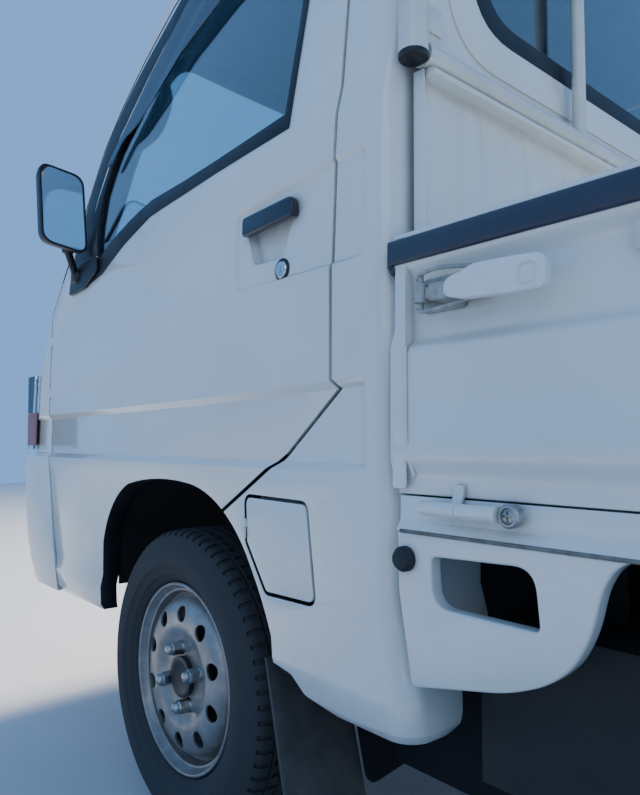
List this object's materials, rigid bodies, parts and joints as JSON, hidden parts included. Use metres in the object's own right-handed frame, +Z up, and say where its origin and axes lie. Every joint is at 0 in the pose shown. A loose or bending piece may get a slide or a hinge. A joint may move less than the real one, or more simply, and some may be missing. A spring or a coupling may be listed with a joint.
{
  "type": "kei truck",
  "caption": "Small cab-over truck with a drop-side bed, a guard frame behind the cab and steel wheels.",
  "frame": {"origin": "on the floor, under the middle of the vehicle's box", "axes": "+Z up, -Y towards the front, +X towards the vehicle's left side"},
  "size_m": [1.7202, 3.395, 1.8149],
  "materials": {
    "body_white": "gloss enamel",
    "guard_white": "gloss enamel",
    "handle_white": "satin enamel",
    "black_plastic": "grained",
    "rubber_black": "matt",
    "window_glass": "polished",
    "lamp_clear": "polished",
    "lamp_red": "polished",
    "wheel_steel": "silver paint",
    "tyre_rubber": "matt",
    "chassis_black": "satin",
    "cast_dark": "as cast",
    "exhaust_steel": "aged",
    "seat_fabric": "woven",
    "interior_grey": "grained"
  },
  "bodies": {
    "chassis": {"cab_floor": "body_white", "cab_side_left": "body_white", "cab_side_right": "body_white", "front_panel": "body_white", "roof": "body_white", "rear_wall": "body_white", "headboard": "body_white", "bed_side_left": "body_white", "bed_side_right": "body_white", "bed_deck": "body_white", "skirt_panels": "body_white", "front_bumper": "body_white", "rear_panel": "body_white", "guard_frame": "guard_white", "mud_flaps": "rubber_black", "windscreen": "window_glass", "rear_window": "window_glass", "headlamps": "lamp_clear", "tail_lamps": "lamp_red", "wheel_liner_left": "chassis_black", "wheel_liner_right": "chassis_black", "chassis_frame": "chassis_black", "bed_underframe": "chassis_black", "front_suspension": "chassis_black", "rear_suspension": "chassis_black", "fuel_tank": "chassis_black", "engine": "cast_dark", "exhaust": "exhaust_steel", "seats": "seat_fabric", "dashboard": "interior_grey", "steering_column": "interior_grey"},
    "door_left": {"door_left": "body_white", "door_glass_left": "window_glass", "door_handle_left": "black_plastic", "mirror_left": "black_plastic"},
    "door_right": {"door_right": "body_white", "door_glass_right": "window_glass", "door_handle_right": "black_plastic", "mirror_right": "black_plastic"},
    "gate_left": {"side_gate_left": "body_white", "gate_latch_left": "handle_white"},
    "gate_right": {"side_gate_right": "body_white", "gate_latch_right": "handle_white"},
    "tailgate": {"tailgate": "body_white"},
    "fuel_lid": {"fuel_lid": "body_white"},
    "knuckle_left": {"knuckle_left": "cast_dark"},
    "knuckle_right": {"knuckle_right": "cast_dark"},
    "wheel_front_left": {"rim_front_left": "wheel_steel", "tyre_front_left": "tyre_rubber"},
    "wheel_front_right": {"rim_front_right": "wheel_steel", "tyre_front_right": "tyre_rubber"},
    "wheel_rear_left": {"rim_rear_left": "wheel_steel", "tyre_rear_left": "tyre_rubber"},
    "wheel_rear_right": {"rim_rear_right": "wheel_steel", "tyre_rear_right": "tyre_rubber"},
    "steering_wheel": {"steering_wheel": "interior_grey"}
  },
  "joints": [
    {"name": "door_left_hinge", "type": "hinge", "parent": "chassis", "child": "door_left", "pos_m": [0.735, -1.4215, 0.895], "axis": [0, 0, -1], "range_deg": [0, 65]},
    {"name": "door_right_hinge", "type": "hinge", "parent": "chassis", "child": "door_right", "pos_m": [-0.735, -1.4215, 0.895], "axis": [0, 0, 1], "range_deg": [0, 65]},
    {"name": "gate_left_hinge", "type": "hinge", "parent": "chassis", "child": "gate_left", "pos_m": [0.7465, 0.6975, 0.618], "axis": [0, 1, 0], "range_deg": [0, 180]},
    {"name": "gate_right_hinge", "type": "hinge", "parent": "chassis", "child": "gate_right", "pos_m": [-0.7465, 0.6975, 0.618], "axis": [0, -1, 0], "range_deg": [0, 180]},
    {"name": "tailgate_hinge", "type": "hinge", "parent": "chassis", "child": "tailgate", "pos_m": [0, 1.689, 0.618], "axis": [-1, 0, 0], "range_deg": [0, 180]},
    {"name": "fuel_lid_hinge", "type": "hinge", "parent": "chassis", "child": "fuel_lid", "pos_m": [0.7375, -0.546, 0.56], "axis": [0, 0, -1], "range_deg": [0, 90]},
    {"name": "steer_left", "type": "hinge", "parent": "chassis", "child": "knuckle_left", "pos_m": [0.59, -0.8025, 0.19], "axis": [-0.1961, 0, 0.9806], "range_deg": [-35, 35]},
    {"name": "steer_right", "type": "hinge", "parent": "chassis", "child": "knuckle_right", "pos_m": [-0.59, -0.8025, 0.19], "axis": [0.1961, 0, 0.9806], "range_deg": [-35, 35]},
    {"name": "steering_wheel_turn", "type": "hinge", "parent": "chassis", "child": "steering_wheel", "pos_m": [-0.34, -1.1325, 1], "axis": [0, 0.6157, 0.788], "range_deg": [-560, 560]},
    {"name": "wheel_front_left_spin", "type": "hinge", "parent": "knuckle_left", "child": "wheel_front_left", "pos_m": [0.645, -0.8025, 0.265], "axis": [1, 0, 0], "continuous": true},
    {"name": "wheel_rear_left_spin", "type": "hinge", "parent": "chassis", "child": "wheel_rear_left", "pos_m": [0.645, 1.0825, 0.265], "axis": [1, 0, 0], "continuous": true},
    {"name": "wheel_front_right_spin", "type": "hinge", "parent": "knuckle_right", "child": "wheel_front_right", "pos_m": [-0.645, -0.8025, 0.265], "axis": [1, 0, 0], "continuous": true},
    {"name": "wheel_rear_right_spin", "type": "hinge", "parent": "chassis", "child": "wheel_rear_right", "pos_m": [-0.645, 1.0825, 0.265], "axis": [1, 0, 0], "continuous": true}
  ],
  "couplings": [
    {"joint": "steer_right", "follows": "steer_left", "ratio": 1},
    {"joint": "steering_wheel_turn", "follows": "steer_left", "ratio": 16}
  ]
}
